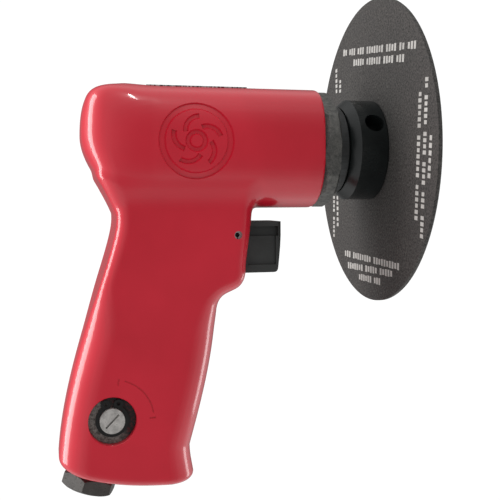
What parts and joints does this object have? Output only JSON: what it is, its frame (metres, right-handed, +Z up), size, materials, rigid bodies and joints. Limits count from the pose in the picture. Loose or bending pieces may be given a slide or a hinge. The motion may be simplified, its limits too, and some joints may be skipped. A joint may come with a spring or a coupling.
{
  "type": "pneumatic pistol-grip disc sander",
  "caption": "Pistol-grip compressed-air sander: straight spindle with a flat round backing pad, sliding trigger, side air regulator and threaded air inlet in the handle foot.",
  "frame": {"origin": "centre of the backing pad's flat working face, on the spindle axis", "axes": "+X along the spindle, out of the pad; +Z up, with the handle hanging down towards -Z; -Y is the side with the regulator screw"},
  "size_m": [0.1316, 0.127, 0.1991],
  "materials": {
    "red_paint": "semi-gloss red enamel on cast aluminium",
    "nameplate_foil": "black anodised foil with a silver border",
    "black_oxide_nut": "rough black oxide",
    "black_rubber": "matt",
    "dark_steel": "fine turned, blackened",
    "bearing_steel": "ground and polished",
    "cage_polymer": "glass-filled polymer",
    "rotor_steel": "ground",
    "vane_laminate": "phenolic laminate",
    "liner_iron": "honed",
    "end_plate_iron": "ground",
    "felt": "pressed wool felt",
    "hub_steel": "black oxide, semi-gloss",
    "pad_fibre": "fine grained pressed fibre board",
    "zinc_steel": "bright zinc plated",
    "black_screw": "black oxide",
    "trigger_plastic": "moulded, light texture",
    "brass": "machined",
    "spring_steel": "drawn wire",
    "regulator_steel": "turned end face",
    "spring_black": "phosphated",
    "washer_steel": "dark, oily",
    "inlet_steel": "black oxide, worn on the corners",
    "screen_mesh": "woven wire",
    "silencer_felt": "pressed wool",
    "exhaust_black": "black anodised"
  },
  "bodies": {
    "housing_assembly": {"housing": "red_paint", "nameplate": "nameplate_foil", "clamp_nut": "black_oxide_nut", "nut_gasket": "black_rubber", "front_end_plate": "dark_steel", "front_bearing_outer_race": "bearing_steel", "dust_shield": "zinc_steel", "felt_seal": "felt", "cylinder_liner": "liner_iron", "liner_dowels": "bearing_steel", "rear_end_plate": "end_plate_iron", "rear_bearing_outer_race": "bearing_steel", "trigger_pin": "spring_steel", "valve_bushing": "brass", "bushing_seals": "black_rubber", "bushing_retaining_ring": "spring_black", "valve_spring": "spring_steel", "regulator_washer": "washer_steel", "inlet_bushing": "inlet_steel", "inlet_gasket": "black_rubber", "inlet_screen": "screen_mesh", "exhaust_silencer": "silencer_felt", "exhaust_cap": "exhaust_black", "exhaust_snap_ring": "spring_black"},
    "rotor_assembly": {"rotor": "rotor_steel", "spindle_spacer": "zinc_steel", "front_bearing_inner_race": "bearing_steel", "rear_bearing_inner_race": "bearing_steel", "pad_hub": "hub_steel", "backing_pad": "pad_fibre", "pad_washer": "zinc_steel", "pad_screw": "black_screw"},
    "front_ball_set": {"front_bearing_balls": "bearing_steel", "front_bearing_cage": "cage_polymer"},
    "rear_ball_set": {"rear_bearing_balls": "bearing_steel", "rear_bearing_cage": "cage_polymer"},
    "vane_1_body": {"vane_1": "vane_laminate"},
    "vane_2_body": {"vane_2": "vane_laminate"},
    "vane_3_body": {"vane_3": "vane_laminate"},
    "vane_4_body": {"vane_4": "vane_laminate"},
    "trigger_body": {"trigger": "trigger_plastic"},
    "throttle_body": {"valve_stem": "bearing_steel", "throttle_valve": "brass", "valve_seal": "black_rubber"},
    "regulator_body": {"regulator_stem": "regulator_steel", "regulator_seals": "black_rubber", "regulator_snap_ring": "spring_black"}
  },
  "joints": [
    {"name": "rotor_spin", "type": "hinge", "parent": "housing_assembly", "child": "rotor_assembly", "pos_m": [-0.05, 0, 0], "axis": [1, 0, 0], "continuous": true},
    {"name": "front_ball_orbit", "type": "hinge", "parent": "housing_assembly", "child": "front_ball_set", "pos_m": [-0.028, 0, 0], "axis": [1, 0, 0], "continuous": true},
    {"name": "rear_ball_orbit", "type": "hinge", "parent": "housing_assembly", "child": "rear_ball_set", "pos_m": [-0.096, 0, 0], "axis": [1, 0, 0], "continuous": true},
    {"name": "vane_1_slide", "type": "slide", "parent": "rotor_assembly", "child": "vane_1_body", "axis": [0, 0, 1], "range_m": [-0.0023, 0]},
    {"name": "vane_2_slide", "type": "slide", "parent": "rotor_assembly", "child": "vane_2_body", "axis": [0, -1, 0], "range_m": [-0.0023, 0]},
    {"name": "vane_3_slide", "type": "slide", "parent": "rotor_assembly", "child": "vane_3_body", "axis": [0, 0, -1], "range_m": [-0.0023, 0]},
    {"name": "vane_4_slide", "type": "slide", "parent": "rotor_assembly", "child": "vane_4_body", "axis": [0, 1, 0], "range_m": [-0.0023, 0]},
    {"name": "trigger_slide", "type": "slide", "parent": "housing_assembly", "child": "trigger_body", "axis": [-1, 0, 0], "range_m": [0, 0.0045], "stiffness_N_per_m": 1200, "springref_m": -0.004},
    {"name": "throttle_slide", "type": "slide", "parent": "housing_assembly", "child": "throttle_body", "axis": [-1, 0, 0], "range_m": [0, 0.0045], "deforming": ["valve_spring"]},
    {"name": "regulator_turn", "type": "hinge", "parent": "housing_assembly", "child": "regulator_body", "pos_m": [-0.1119, 0, -0.1037], "axis": [0, 1, 0], "range_deg": [-42, 42]}
  ],
  "couplings": [
    {"joint": "front_ball_orbit", "follows": "rotor_spin", "ratio": 0.381},
    {"joint": "rear_ball_orbit", "follows": "rotor_spin", "ratio": 0.368},
    {"joint": "throttle_slide", "follows": "trigger_slide", "ratio": 1}
  ]
}
